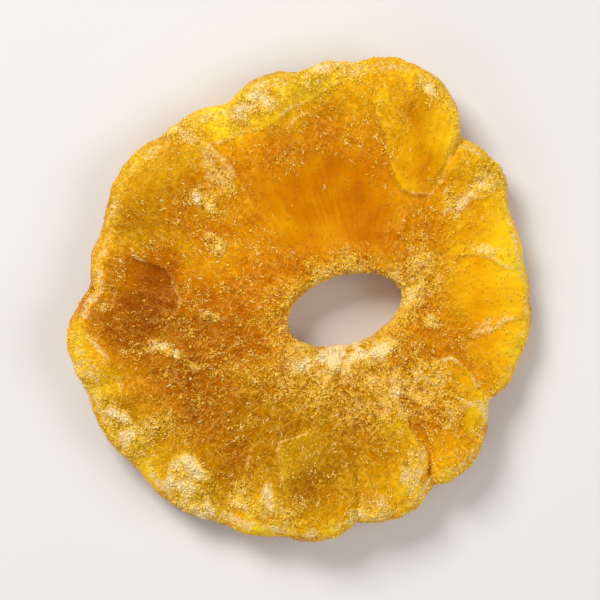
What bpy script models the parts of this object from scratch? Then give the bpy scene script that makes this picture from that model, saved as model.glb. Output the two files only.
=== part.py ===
"""A ring of dried pineapple: one lobed slice of candied fruit with an off-centre core hole, lying flat.

The slice is a closed band between two curves, the hole's edge and the lobed rim. Its vertices come from
a torus, whose two angles say how far round the ring and how far round the band's section each one is.
"""

import bpy
import numpy as np

MM = 0.001

# Driving sizes, in millimetres. +X and +Y lie in the slice, +Z is up, and the slice rests on z = 0.
THICKNESS = 7.4
THICKENING_AT_CORE = 0.9
HOLE_CENTRE = (6.1, -1.6)
HOLE_HALF_LENGTH = 8.9
HOLE_HALF_WIDTH = 5.2
HOLE_TURN = 17.0
FLAT_DEPTH = 1.0

# The fruitlets that meet at the rim: direction and half width in degrees, reach from the middle in mm,
# and how deep the seam to the next one is, as a share of SEAM_DEPTH.
FRUITLETS = [
    (17, 14, 33.2, 0.3),
    (35, 13, 34.9, 0.7),
    (64, 11.5, 38.5, 0.5),
    (81, 11, 35.3, 0.3),
    (97, 11, 33.9, 0.8),
    (124, 15, 32.0, 0.3),
    (145, 17, 33.2, 0.4),
    (169, 14, 31.9, 0.7),
    (194, 12, 35.2, 0.6),
    (214, 15, 35.6, 0.3),
    (238, 17, 36.1, 0.5),
    (257, 14, 35.6, 0.3),
    (272, 11, 35.8, 0.9),
    (294, 11, 35.3, 1.0),
    (315, 12, 34.8, 1.0),
    (342, 10, 33.1, 0.2),
    (356, 20, 33.9, 0.3),
]
LOBE_DROP = 2.0
LOBE_BLEND = 0.45
SEAM_WIDTH = 1.1
SEAM_DEPTH = 1.3
SEAM_START = 0.30
UNDER_SEAM_SHARE = 0.6
SEAM_SWAY = 9.0

# Raised and sunken patches of the upper face: middle x and y, half length, half width, turn in degrees,
# height, and how much of the patch its edge takes (a small share is a flap, 1 is a soft swelling).
UPPER_RELIEF = {
    "smooth_basin": (3, 15, 15, 9, 5, -1.1, 0.7),
    "top_lip": (-7, 33, 18, 7, 24, 1.4, 0.3),
    "top_right_flap": (23, 28, 14, 9.5, 58, 1.3, 0.22),
    "upper_left_dome": (-19, 17, 13, 9.5, 35, 1.6, 0.7),
    "left_hollow": (-22, 2.5, 9.5, 5, -20, -1.3, 0.7),
    "left_flap": (-33, -9, 9, 6, 80, 1.1, 0.4),
    "lower_left_swell": (-18, -20, 11, 8, -45, 0.8, 0.9),
    "bottom_flap": (4, -31, 9.5, 11, 5, 1.2, 0.22),
    "lower_right_flap": (27, -21, 12.5, 9.5, -78, 1.3, 0.22),
    "right_swell": (27, 6, 9, 13, 0, 0.7, 0.9),
    "core_collar": (6.1, -1.6, 15, 11, 17, 0.8, 0.8),
}

# The under face lay on a drying rack, so it is plainer.
UNDER_RELIEF = {
    "rack_dent": (-12, 8, 14, 9, 30, 0.8, 0.9),
    "right_dent": (20, 14, 9, 8, 10, 0.7, 0.9),
    "bottom_dent": (4, -20, 12, 7, -15, 0.7, 0.8),
}

# The slice curls as it dries: heights at the rim of a two-way and a three-way wave, and their directions.
CURL_OF_TWO = 0.8
CURL_OF_TWO_TOWARDS = 75
CURL_OF_THREE = 1.0
CURL_OF_THREE_TOWARDS = 60
CURL_RADIUS = 35.0

# The coarse fibres that run towards the rim: height in mm, waves round the ring, and the share of the way
# from the hole to the rim where they start, and over which they end.
FIBRE_HEIGHT = 0.10
FIBRE_WAVES = (13, 21, 34)
FIBRE_START = 0.05
FIBRE_END = 0.15

# The band's section is a squared oval, rounder at the rim than at the hole.
RIM_SQUARENESS = 3.3
HOLE_SQUARENESS = 4.4
SECTION_HALF_WIDTH = 13.0

STEPS_ROUND = 170
STEPS_ACROSS = 32

FLESH_COLOUR = (0.62, 0.25, 0.012, 1.0)
FLESH_ROUGHNESS = 0.45


def clear_scene():
    """Removes every object that the scene starts with."""
    for obj in list(bpy.data.objects):
        bpy.data.objects.remove(obj)


def smooth_step(share):
    """0 below 0, 1 above 1, and an S-shaped rise between them."""
    share = np.clip(share, 0.0, 1.0)
    return share * share * (3.0 - 2.0 * share)


def fruitlet_caps(angle):
    """How far each fruitlet reaches in every direction: a parabola over angle, one row for each fruitlet."""
    direction, half_width, reach, _ = (np.array(column, float)[:, None] for column in zip(*FRUITLETS))
    off = (np.degrees(angle)[None, :] - direction + 180.0) % 360.0 - 180.0
    return reach - LOBE_DROP * (off / half_width) ** 2


def rim_radius(angle):
    """The rim's distance from the middle: the soft maximum of the fruitlets' caps."""
    caps = fruitlet_caps(angle)
    return LOBE_BLEND * np.log(np.exp(caps / LOBE_BLEND).sum(axis=0))


def seam_strength(angle, share):
    """The depth of the seam between two fruitlets, 0 away from it, fading from the rim towards the hole."""
    sway = np.radians(SEAM_SWAY) * np.sin(3.0 * angle + 1.0) * (1.0 - share)
    caps = fruitlet_caps(angle + sway)
    nearest, second = np.argsort(caps, axis=0)[[-1, -2]]
    step = np.take_along_axis(caps, nearest[None], 0)[0] - np.take_along_axis(caps, second[None], 0)[0]
    before = np.where((second - nearest) % len(FRUITLETS) == 1, nearest, second)
    depth = np.array([fruitlet[3] for fruitlet in FRUITLETS])[before]
    fade = smooth_step((share - SEAM_START) / (1.0 - SEAM_START))
    return depth * fade * np.exp(-((step / SEAM_WIDTH) ** 2))


def hole_edge(angle):
    """The hole's edge, a turned ellipse, as x and y for every direction."""
    turn = np.radians(HOLE_TURN)
    along = HOLE_HALF_LENGTH * np.cos(angle - turn)
    aside = HOLE_HALF_WIDTH * np.sin(angle - turn)
    x = HOLE_CENTRE[0] + along * np.cos(turn) - aside * np.sin(turn)
    y = HOLE_CENTRE[1] + along * np.sin(turn) + aside * np.cos(turn)
    return x, y


def section_at(fraction):
    """Where a point lies on the band's section, at even steps along it: -1 to 1 across and -1 to 1 in height."""
    fine = np.linspace(0.0, 2.0 * np.pi, 2001)
    power = 2.0 / np.where(np.cos(fine) > 0, RIM_SQUARENESS, HOLE_SQUARENESS)
    across = np.sign(np.cos(fine)) * np.abs(np.cos(fine)) ** power
    height = np.sign(np.sin(fine)) * np.abs(np.sin(fine)) ** power
    step = np.hypot(SECTION_HALF_WIDTH * np.diff(across), THICKNESS / 2.0 * np.diff(height))
    travelled = np.concatenate([[0.0], np.cumsum(step)])
    place = np.interp(fraction, travelled / travelled[-1], np.arange(len(fine)))
    index = np.arange(len(fine))
    return np.interp(place, index, across), np.interp(place, index, height)


def relief(x, y, patches):
    """The sum of the patches: each is a turned oval that rises to its height over its edge."""
    total = np.zeros_like(x)
    ragged_x = x + 0.7 * np.sin(0.45 * y + 1.0) + 0.4 * np.sin(0.9 * x - 0.6 * y)
    ragged_y = y + 0.7 * np.sin(0.50 * x + 2.0) + 0.4 * np.sin(0.8 * y + 0.7 * x)
    for middle_x, middle_y, half_length, half_width, turn, height, edge in patches.values():
        cos, sin = np.cos(np.radians(turn)), np.sin(np.radians(turn))
        along = (ragged_x - middle_x) * cos + (ragged_y - middle_y) * sin
        aside = (ragged_y - middle_y) * cos - (ragged_x - middle_x) * sin
        distance = np.hypot(along / half_length, aside / half_width)
        total += height * smooth_step((1.0 - distance) / edge)
    return total


def fibres(angle, share):
    """Low ridges along the flesh: the sum of a few waves round the ring, gone at the hole and at the rim."""
    waves = sum(np.sin(count * angle + 1.7 * count + 2.0 * share) for count in FIBRE_WAVES)
    rise = smooth_step((share - FIBRE_START) / (1.0 - FIBRE_START))
    return FIBRE_HEIGHT * waves * rise * smooth_step((1.0 - share) / FIBRE_END)


def curl(x, y):
    """The slow bend of the whole slice: a two-way and a three-way wave that grow towards the rim."""
    reach = np.hypot(x, y) / CURL_RADIUS
    angle = np.degrees(np.arctan2(y, x))
    two = CURL_OF_TWO * reach**2 * np.cos(np.radians(2.0 * (angle - CURL_OF_TWO_TOWARDS)))
    three = CURL_OF_THREE * reach**3 * np.cos(np.radians(3.0 * (angle - CURL_OF_THREE_TOWARDS)))
    return two + three


def ring_shape(angle, fraction):
    """x, y and z in millimetres, for angles round the ring and fractions of the way round its section."""
    across, height = section_at(fraction)
    share = (across + 1.0) / 2.0
    hole_x, hole_y = hole_edge(angle)
    radius = rim_radius(angle)
    x = (1.0 - share) * hole_x + share * radius * np.cos(angle)
    y = (1.0 - share) * hole_y + share * radius * np.sin(angle)

    bend = curl(x, y)
    seam = SEAM_DEPTH * seam_strength(angle, share)
    thickness = THICKNESS + THICKENING_AT_CORE * (1.0 - share) ** 2
    ridges = fibres(angle, share)
    upper = bend + thickness + relief(x, y, UPPER_RELIEF) + ridges - seam
    under = bend + relief(x, y, UNDER_RELIEF) - ridges + UNDER_SEAM_SHARE * seam
    return x, y, (upper + under) / 2.0 + height * (upper - under) / 2.0


def rested(x, y, z):
    """Centres the outline over the origin, and presses the lowest FLAT_DEPTH of the slice flat on z = 0."""
    x = x - (x.max() + x.min()) / 2.0
    y = y - (y.max() + y.min()) / 2.0
    return x, y, np.maximum(z - z.min() - FLAT_DEPTH, 0.0)


def flesh_material():
    """Sugared, half translucent fruit: a deep warm yellow."""
    material = bpy.data.materials.new("Candied flesh")
    material.use_nodes = True
    shader = material.node_tree.nodes["Principled BSDF"]
    shader.inputs["Base Color"].default_value = FLESH_COLOUR
    shader.inputs["Roughness"].default_value = FLESH_ROUGHNESS
    shader.inputs["Metallic"].default_value = 0.0
    return material


def pineapple_ring(collection):
    """The slice itself, shaped from a torus of unit radii."""
    tube_middle, tube_radius = 2.0, 1.0
    bpy.ops.mesh.primitive_torus_add(
        major_segments=STEPS_ROUND,
        minor_segments=STEPS_ACROSS,
        major_radius=tube_middle,
        minor_radius=tube_radius,
    )
    ring = bpy.context.object
    ring.name = "pineapple_ring"
    ring.data.name = "pineapple_ring"

    points = np.empty(len(ring.data.vertices) * 3)
    ring.data.vertices.foreach_get("co", points)
    x, y, z = points.reshape(-1, 3).T
    angle = np.arctan2(y, x)
    round_section = np.arctan2(z, np.hypot(x, y) - tube_middle) % (2.0 * np.pi)
    shaped = rested(*ring_shape(angle, round_section / (2.0 * np.pi)))
    ring.data.vertices.foreach_set("co", (np.stack(shaped, axis=1) * MM).ravel())
    ring.data.update()

    ring.data.shade_smooth()
    ring.data.materials.append(flesh_material())
    for other in list(ring.users_collection):
        other.objects.unlink(ring)
    collection.objects.link(ring)
    return ring


def main():
    clear_scene()
    collection = bpy.data.collections.new("Dried pineapple ring")
    bpy.context.scene.collection.children.link(collection)
    pineapple_ring(collection)


main()
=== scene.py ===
# %% [markdown]
# # A sugared ring of dried pineapple
#
# A slice of pineapple is cored, candied in syrup, dried and rolled in sugar. It ends as a leathery, half
# translucent ring: amber orange where it is thick, bright yellow at the lobed rim, and frosted with grains.
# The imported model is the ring's plain solid. This file dresses it: the same ring worked out again on a fine
# grid, with its wrinkles, crests and crust, and then the loose sugar as thousands of small crystals.

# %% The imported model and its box
import itertools

import bpy
import numpy as np
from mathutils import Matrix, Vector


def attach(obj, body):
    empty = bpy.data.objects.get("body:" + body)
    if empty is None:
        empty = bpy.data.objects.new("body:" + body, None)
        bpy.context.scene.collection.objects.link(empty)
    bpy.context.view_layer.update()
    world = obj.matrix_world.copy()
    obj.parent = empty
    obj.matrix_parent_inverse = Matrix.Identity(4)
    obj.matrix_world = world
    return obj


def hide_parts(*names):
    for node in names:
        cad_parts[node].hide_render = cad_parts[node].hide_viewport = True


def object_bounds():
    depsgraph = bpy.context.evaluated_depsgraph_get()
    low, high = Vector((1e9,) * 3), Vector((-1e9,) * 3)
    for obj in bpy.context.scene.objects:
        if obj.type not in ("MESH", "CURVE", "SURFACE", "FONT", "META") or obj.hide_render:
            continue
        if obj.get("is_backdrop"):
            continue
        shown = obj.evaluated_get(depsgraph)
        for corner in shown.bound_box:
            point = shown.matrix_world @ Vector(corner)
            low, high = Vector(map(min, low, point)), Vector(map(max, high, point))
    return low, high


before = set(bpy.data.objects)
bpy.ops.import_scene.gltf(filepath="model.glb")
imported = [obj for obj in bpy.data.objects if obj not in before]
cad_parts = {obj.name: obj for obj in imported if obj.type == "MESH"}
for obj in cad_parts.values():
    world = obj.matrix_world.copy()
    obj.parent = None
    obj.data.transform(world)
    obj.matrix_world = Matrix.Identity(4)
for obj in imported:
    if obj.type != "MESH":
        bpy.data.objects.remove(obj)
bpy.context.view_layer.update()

MM = 0.001
print("solids:", list(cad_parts))

# %% [markdown]
# ## The outline
#
# The rim is where the fruitlets end, the eyes of the whole fruit. Each reaches out in its own direction
# like a flat parabola, and a soft maximum joins them, so that the outline has rounded lobes with tucks
# between. A spline drawn by hand could follow it as well, but the list of fruitlets also says where the
# seams run.

# %% Fruitlets, hole and thickness
# Direction and half width in degrees, reach from the middle in mm, and the depth share of the next seam.
FRUITLETS = [
    (17, 14, 33.2, 0.3),
    (35, 13, 34.9, 0.7),
    (64, 11.5, 38.5, 0.5),
    (81, 11, 35.3, 0.3),
    (97, 11, 33.9, 0.8),
    (124, 15, 32.0, 0.3),
    (145, 17, 33.2, 0.4),
    (169, 14, 31.9, 0.7),
    (194, 12, 35.2, 0.6),
    (214, 15, 35.6, 0.3),
    (238, 17, 36.1, 0.5),
    (257, 14, 35.6, 0.3),
    (272, 11, 35.8, 0.9),
    (294, 11, 35.3, 1.0),
    (315, 12, 34.8, 1.0),
    (342, 10, 33.1, 0.2),
    (356, 20, 33.9, 0.3),
]
LOBE_DROP = 2.0
LOBE_BLEND = 0.45
SEAM_WIDTH = 1.1
SEAM_DEPTH = 1.3
SEAM_START = 0.30
UNDER_SEAM_SHARE = 0.6
SEAM_SWAY = 9.0
SEAM_SWAYS_ROUND = 3.0
SEAM_SWAY_START = 1.0

THICKNESS = 7.4
THICKENING_AT_CORE = 0.9
HOLE_CENTRE = (6.1, -1.6)
HOLE_HALF_LENGTH = 8.9
HOLE_HALF_WIDTH = 5.2
HOLE_TURN = 17.0
FLAT_DEPTH = 1.0


def smooth_step(share):
    """0 below 0, 1 above 1, and an S-shaped rise between them."""
    share = np.clip(share, 0.0, 1.0)
    return share * share * (3.0 - 2.0 * share)


def fruitlet_caps(angle):
    """Each fruitlet's reach all round: reach minus the drop times (degrees off / half width) squared."""
    direction, half_width, reach, _ = (np.array(column, float)[:, None] for column in zip(*FRUITLETS))
    off = (np.degrees(angle)[None, :] - direction + 180.0) % 360.0 - 180.0
    return reach - LOBE_DROP * (off / half_width) ** 2


def rim_radius(angle):
    """The rim's distance from the middle: blend times the log of the summed exp(cap / blend)."""
    return LOBE_BLEND * np.log(np.exp(fruitlet_caps(angle) / LOBE_BLEND).sum(axis=0))


def seam_strength(angle, share):
    """How deep the seam is: a bell curve over the difference between the two furthest caps."""
    wave = np.sin(SEAM_SWAYS_ROUND * angle + SEAM_SWAY_START)
    caps = fruitlet_caps(angle + np.radians(SEAM_SWAY) * wave * (1.0 - share))
    nearest, second = np.argsort(caps, axis=0)[[-1, -2]]
    step = np.take_along_axis(caps, nearest[None], 0)[0] - np.take_along_axis(caps, second[None], 0)[0]
    before = np.where((second - nearest) % len(FRUITLETS) == 1, nearest, second)
    depth = np.array([fruitlet[3] for fruitlet in FRUITLETS])[before]
    depth = depth * smooth_step((share - SEAM_START) / (1.0 - SEAM_START))
    return depth * np.exp(-((step / SEAM_WIDTH) ** 2))


def hole_edge(angle):
    """The hole's edge, an ellipse turned by HOLE_TURN about HOLE_CENTRE, as x and y."""
    turn = np.radians(HOLE_TURN)
    along = HOLE_HALF_LENGTH * np.cos(angle - turn)
    aside = HOLE_HALF_WIDTH * np.sin(angle - turn)
    x = HOLE_CENTRE[0] + along * np.cos(turn) - aside * np.sin(turn)
    y = HOLE_CENTRE[1] + along * np.sin(turn) + aside * np.cos(turn)
    return x, y


radii = rim_radius(np.linspace(0.0, 2.0 * np.pi, 721))
print("rim radius from", radii.min().round(1), "to", radii.max().round(1), "mm")

# %% [markdown]
# ## The relief of the two faces
#
# The slice shrank unevenly as it dried: some fruitlets stand up as flaps, others sank into basins.
# Sculpting would give the same forms, but a short list of turned ovals can be read and changed. The same
# kind of list also says later where the flesh is paler and where the sugar clings.

# %% Patches of the upper and the under face
# Middle x and y, half length, half width, turn in degrees, height in mm, and the share of sloping edge.
UPPER_RELIEF = {
    "smooth_basin": (3, 15, 15, 9, 5, -1, 0.7),
    "top_lip": (-7, 33, 18, 7, 24, 1, 0.48),
    "top_right_flap": (23, 28, 14, 9.5, 58, 0.9, 0.4),
    "upper_left_dome": (-19, 17, 13, 9.5, 35, 1.5, 0.8),
    "left_hollow": (-22, 2.5, 9.5, 5, -20, -1.1, 0.8),
    "left_flap": (-33, -9, 9, 6, 80, 1, 0.6),
    "lower_left_swell": (-18, -20, 11, 8, -45, 0.8, 0.9),
    "bottom_flap": (4, -31, 9.5, 11, 5, 0.9, 0.4),
    "lower_right_flap": (27, -21, 12.5, 9.5, -78, 1, 0.38),
    "right_swell": (27, 6, 9, 13, 0, 0.7, 0.9),
    "core_collar": (6.1, -1.6, 15, 11, 17, 0.8, 0.8),
}
UNDER_RELIEF = {
    "rack_dent": (-12, 8, 14, 9, 30, 0.8, 0.9),
    "right_dent": (20, 14, 9, 8, 10, 0.7, 0.9),
    "bottom_dent": (4, -20, 12, 7, -15, 0.7, 0.8),
}
# Two sine waves make the ovals' edges wander by these mm, so that none of them looks drawn.
RAGGED_LONG = 0.7
RAGGED_SHORT = 0.4


def patched(x, y, patches):
    """Sum of the patches: height times an S-curve of (1 - distance from the oval's middle) / edge share."""
    total = np.zeros_like(x)
    ragged_x = x + RAGGED_LONG * np.sin(0.45 * y + 1.0) + RAGGED_SHORT * np.sin(0.9 * x - 0.6 * y)
    ragged_y = y + RAGGED_LONG * np.sin(0.50 * x + 2.0) + RAGGED_SHORT * np.sin(0.8 * y + 0.7 * x)
    for middle_x, middle_y, half_length, half_width, turn, height, edge in patches.values():
        cos, sin = np.cos(np.radians(turn)), np.sin(np.radians(turn))
        along = (ragged_x - middle_x) * cos + (ragged_y - middle_y) * sin
        aside = (ragged_y - middle_y) * cos - (ragged_x - middle_x) * sin
        total += height * smooth_step((1.0 - np.hypot(along / half_length, aside / half_width)) / edge)
    return total


# %% The slow curl of the whole slice
CURL_OF_TWO = 0.8
CURL_OF_TWO_TOWARDS = 75
CURL_OF_THREE = 1.0
CURL_OF_THREE_TOWARDS = 60
CURL_RADIUS = 35.0


def curl(x, y):
    """A two-way wave growing with the square of the reach, plus a three-way one growing with its cube."""
    reach = np.hypot(x, y) / CURL_RADIUS
    angle = np.degrees(np.arctan2(y, x))
    two = CURL_OF_TWO * reach**2 * np.cos(np.radians(2.0 * (angle - CURL_OF_TWO_TOWARDS)))
    three = CURL_OF_THREE * reach**3 * np.cos(np.radians(3.0 * (angle - CURL_OF_THREE_TOWARDS)))
    return two + three


# %% [markdown]
# ## Noise for skin and fibres
#
# Fruit that has dried is wrinkled at every size. Blender's Displace modifier could do it with a texture,
# but noise as a numpy function can also run along the fibres, which fan out from the core to the rim.

# %% Value noise
LATTICE_MIX = (127.1, 311.7, 74.7)
LATTICE_SEED_STEP = 53.3
LATTICE_SINE = 43758.5453


def lattice_value(corner, seed):
    """A repeatable value from -1 to 1 for each whole-number corner: the fraction of a large sine."""
    mixed = np.sin(corner @ np.array(LATTICE_MIX) + LATTICE_SEED_STEP * seed)
    return 2.0 * ((mixed * LATTICE_SINE) % 1.0) - 1.0


def value_noise(points, seed):
    """Smooth noise: values at the corners of a point's cell, blended by S-curves of its place there."""
    cell = np.floor(points)
    blend = smooth_step(points - cell)
    total = np.zeros(len(points))
    for corner in itertools.product((0.0, 1.0), repeat=3):
        weight = np.prod(np.where(np.array(corner) > 0, blend, 1.0 - blend), axis=1)
        total += weight * lattice_value(cell + corner, seed)
    return total


# %% [markdown]
# ## Crests
#
# Where one fruitlet's flesh dried over the next, its edge stands up as a thin ridge, with the flap behind it
# a little higher and a dark crease in front. The ridge is paler, partly with a film of sugar and partly as a
# painted highlight. These are the lines that the eye follows on the real slice. Two fainter streaks run from
# the hollow towards the core. Each is a short path with the flap on its left, and a point's distance from
# the path sets its height.

# %% Crest paths
# How far the flap stands up, the ridge's and the crease's size, in mm, and the path's x and y in mm.
CRESTS = {
    "top_lip": (
        0.30, 0.15, 0.0,
        [(-14.5, 22.6), (-7.6, 24.7), (-4.8, 25.5), (-2.9, 27.0), (2.5, 30.8), (8.4, 33.0)],
    ),
    "basin_fold": (0.15, 0.10, 0.0, [(-4.2, 24.4), (-0.4, 26.3), (3.4, 27.3)]),
    "tongue": (
        0.38, 0.26, 0.12,
        [(9.6, 31.0), (11.6, 25.6), (13.4, 21.4), (13.7, 18.2), (14.5, 16.4), (16.2, 15.3), (18.6, 15.4)],
    ),
    "tongue_side": (
        0.28, 0.12, 0.03,
        [(16.0, 15.4), (18.2, 15.2), (20.8, 16.8), (21.8, 20.0), (22.4, 25.0)],
    ),
    "dome": (0.25, 0.12, 0.05, [(-6.5, 11.5), (-9.6, 17.4), (-12.7, 21.5), (-17.0, 25.6)]),
    "hollow": (
        0.30, 0.10, 0.03,
        [(-27.5, 8.8), (-23.8, 6.6), (-21.0, 4.7), (-19.3, 2.6), (-18.4, 0.6), (-19.0, -3.0)],
    ),
    "hollow_side": (0.08, 0.08, 0.0, [(-28.4, -3.0), (-27.6, 1.6), (-26.9, 5.0), (-25.6, 8.4)]),
    "streak_high": (0.14, 0.07, 0.0, [(-22.8, 6.4), (-18.5, 4.3), (-15.0, 3.0), (-10.0, 0.6)]),
    "streak_low": (0.14, 0.06, 0.0, [(-17.0, -0.8), (-13.4, -2.6), (-8.4, -4.2)]),
    "left_flap": (
        0.25, 0.20, 0.12,
        [(-26.4, -15.5), (-28.3, -10.1), (-28.9, -8.6), (-30.0, -6.7), (-33.0, -4.2)],
    ),
    "notch_left": (0.30, 0.18, 0.10, [(-18.0, -21.0), (-19.0, -26.0), (-19.4, -28.6), (-17.2, -32.5)]),
    "notch_right": (0.25, 0.18, 0.08, [(-11.6, -27.2), (-14.8, -25.2), (-18.4, -21.6)]),
    "lower_left_fold": (0.15, 0.12, 0.05, [(-7.8, -20.2), (-8.6, -23.2), (-10.4, -26.8)]),
    "bottom": (
        0.40, 0.18, 0.10,
        [(3.0, -19.4), (-2.7, -21.4), (-3.9, -22.8), (-3.9, -25.1), (-3.0, -29.4)],
    ),
    "lower_right": (
        0.40, 0.20, 0.12,
        [(27.4, -15.5), (24.9, -11.1), (23.4, -9.2), (21.7, -8.7), (16.0, -10.8)],
    ),
    "lower_right_lobe": (
        0.40, 0.26, 0.14,
        [(28.8, -18.5), (28.0, -15.9), (27.0, -14.6), (25.3, -14.7), (21.7, -16.5)],
    ),
    "slit": (
        0.45, 0.15, 0.60,
        [(18.1, -31.0), (17.6, -25.6), (17.9, -22.0), (16.6, -19.6), (13.4, -14.5)],
    ),
    "right_fold_low": (0.20, 0.15, 0.05, [(22.9, -5.6), (27.8, -4.1), (33.0, -3.0)]),
    "right_fold_middle": (0.20, 0.15, 0.05, [(19.9, 6.4), (26.0, 6.4), (33.0, 4.4)]),
    "right_fold_high": (0.20, 0.15, 0.05, [(19.8, 11.4), (25.0, 15.2), (30.4, 18.0)]),
}
RIDGE_WIDTH = 0.30
CREASE_WIDTH = 0.7
CREASE_OFFSET = 0.9
CREASE_REACH = 2.0
STEP_WIDTH = 0.7
TONE_STEP_WIDTH = 0.25
FLAP_FADE = 5.0
CREST_TAPER = 3.0
CREST_LIFT = 1.1
RIDGE_PALENESS = 5.0
FLAP_PALENESS = 2.0
WANDER = 0.8
WANDER_WAVE = 3.0


def distance_from_path(x, y, path):
    """How far a point is from the path, how far right of it, and from the path's nearer end, in mm."""
    corners = np.array(path)
    lengths = np.hypot(*np.diff(corners, axis=0).T)
    gone = np.concatenate([[0.0], np.cumsum(lengths)])
    nearest = np.full_like(x, np.inf)
    right = np.zeros_like(x)
    from_end = np.zeros_like(x)
    for index, ((start_x, start_y), (end_x, end_y)) in enumerate(itertools.pairwise(path)):
        run_x, run_y = end_x - start_x, end_y - start_y
        length = lengths[index]
        share = np.clip(((x - start_x) * run_x + (y - start_y) * run_y) / length**2, 0.0, 1.0)
        off_x, off_y = x - start_x - share * run_x, y - start_y - share * run_y
        distance = np.hypot(off_x, off_y)
        travelled = gone[index] + share * length
        closer = distance < nearest
        nearest = np.where(closer, distance, nearest)
        right = np.where(closer, (off_x * run_y - off_y * run_x) / length, right)
        from_end = np.where(closer, np.minimum(travelled, gone[-1] - travelled), from_end)
    return nearest, right, from_end


def crests(x, y):
    """Height of flap, ridge and crease, and 0 to 1 masks of the ridges and of the flaps behind them.

    Left of a path the flap's height fades with distance; on it stands a bell-shaped ridge, and just right
    of it lies a bell-shaped crease. All of them taper to nothing at the path's ends. The flap's mask has a
    crisper step than its height, because its colour changes at the ridge.
    """
    flat_place = np.stack([x, y, np.zeros_like(x)], axis=1) / WANDER_WAVE
    wander_x = x + WANDER * value_noise(flat_place, seed=21)
    wander_y = y + WANDER * value_noise(flat_place, seed=22)
    height = np.zeros_like(x)
    ridges, flaps = np.zeros_like(x), np.zeros_like(x)
    for flap, ridge, crease, path in CRESTS.values():
        distance, right, from_end = distance_from_path(wander_x, wander_y, path)
        taper = smooth_step(from_end / CREST_TAPER)
        line = np.exp(-((distance / RIDGE_WIDTH) ** 2))
        fade = np.exp(-((distance / FLAP_FADE) ** 2))
        behind = fade * smooth_step(0.5 - right / (2.0 * STEP_WIDTH))
        paler = fade * smooth_step(0.5 - right / (2.0 * TONE_STEP_WIDTH))
        beside = np.exp(-(((right - CREASE_OFFSET) / CREASE_WIDTH) ** 2))
        beside *= np.exp(-((distance / CREASE_REACH) ** 2))
        height += taper * (CREST_LIFT * flap * behind + ridge * line - crease * beside * (1.0 - line))
        ridges = np.maximum(ridges, taper * line * min(1.0, RIDGE_PALENESS * ridge))
        flaps = np.maximum(flaps, taper * paler * min(1.0, FLAP_PALENESS * flap))
    return height, ridges, flaps


print(len(CRESTS), "crests,", sum(len(crest[3]) for crest in CRESTS.values()), "points in all")

# %% [markdown]
# ## Where the sugar clings and how deep the colour is
#
# The frosting is uneven. It is thick and white under the hole, on the lip at the top and along the lower
# left rim, and the big basin above the hole is bare. The flesh is burnt orange in the hollow at the left and
# yellow towards the rim, partly its own colour and partly painted shade and light, and its brightness is
# painted light and shade. All of these are lists of the same turned ovals.

# %% Patches of sugar, of tone and of painted light and shade
# The oval as before, then how thick the crust is in place of a height, and the share that is sloping edge.
CRUST = {
    "under_hole": (6.4, -7.5, 9, 2.1, 13, 1.3, 0.8),
    "below_hole": (5, -9.8, 10.5, 4, 8, 0.26, 0.9),
    "round_hole": (6.1, -1.6, 14.5, 10, 17, 0.22, 0.5),
    "below_middle": (8, -14, 15, 8, -10, 0.18, 0.8),
    "lower_left_field": (-9, -11, 15, 10, 0, 0.06, 0.8),
    "lip_streaks": (-7, 28, 5.5, 2.6, 35, 0.95, 0.8),
    "lip_rim": (4, 33.6, 8, 2.4, 6, 0.45, 0.8),
    "dome_line": (-12.4, 19.2, 8, 1.6, -52, 0.35, 0.9),
    "dome_top": (-18.5, 24.5, 4.5, 2.2, 20, 0.35, 0.8),
    "dome_cluster": (-13.7, 15.3, 2.8, 1.9, -40, 0.6, 0.8),
    "middle_cluster": (-13.2, 8.6, 2.6, 1.5, -50, 0.6, 0.8),
    "small_cluster": (-13.5, -1.6, 1.8, 1.2, 10, 0.55, 0.8),
    "inner_streaks": (-9, 2, 5.5, 2.2, -25, 0.05, 0.9),
    "left_streaks": (-18, -4, 6.5, 2.4, -15, 0.08, 0.9),
    "left_line": (-19.5, -8.3, 6, 1.5, -18, 0.55, 0.8),
    "left_rim": (-31.9, -12.2, 3.2, 1.5, -60, 1.1, 0.8),
    "lower_left_rim": (-26.6, -18.4, 6.5, 2.2, -56, 0.85, 0.8),
    "lower_left_patch": (-21, -19, 6, 2.6, -10, 0.3, 0.9),
    "notch_patch": (-15.4, -24.3, 3.8, 1.9, -40, 1, 0.8),
    "notch_line": (-18.4, -25.8, 4, 1.1, 74, 0.6, 0.8),
    "notch_rim": (-15.4, -29.6, 5.5, 3.4, -45, 0.75, 0.8),
    "bottom_patch": (-8.6, -29.4, 3, 2.1, 80, 0.85, 0.8),
    "bottom_patch_right": (-4.4, -29.3, 3, 1.6, 80, 0.75, 0.8),
    "bottom_rim": (-4, -31.5, 7, 2.4, -4, 0.25, 0.9),
    "bottom_right_rim": (9.5, -31.5, 4, 1.8, 25, 0.5, 0.8),
    "slit_side": (16.4, -26, 4.5, 1.6, 86, 0.4, 0.8),
    "lower_right_field": (18, -13, 10, 6.5, -40, 0.27, 0.8),
    "right_cluster": (19.1, -4.1, 2.2, 1.4, 0, 0.6, 0.8),
    "right_collar": (17.5, 2.5, 5.5, 8, 0, 0.17, 0.8),
    "upper_right_patch": (27.6, 18, 3.4, 2.4, -30, 0.45, 0.9),
    "tongue_corner": (22.8, 14.4, 2.6, 1.2, -65, 0.5, 0.8),
    "upper_right_rim": (28.8, 20.2, 3.2, 1.6, -50, 0.45, 0.8),
    "tongue_rim": (19.3, 30.2, 2.8, 1.5, -35, 0.6, 0.8),
}
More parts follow.
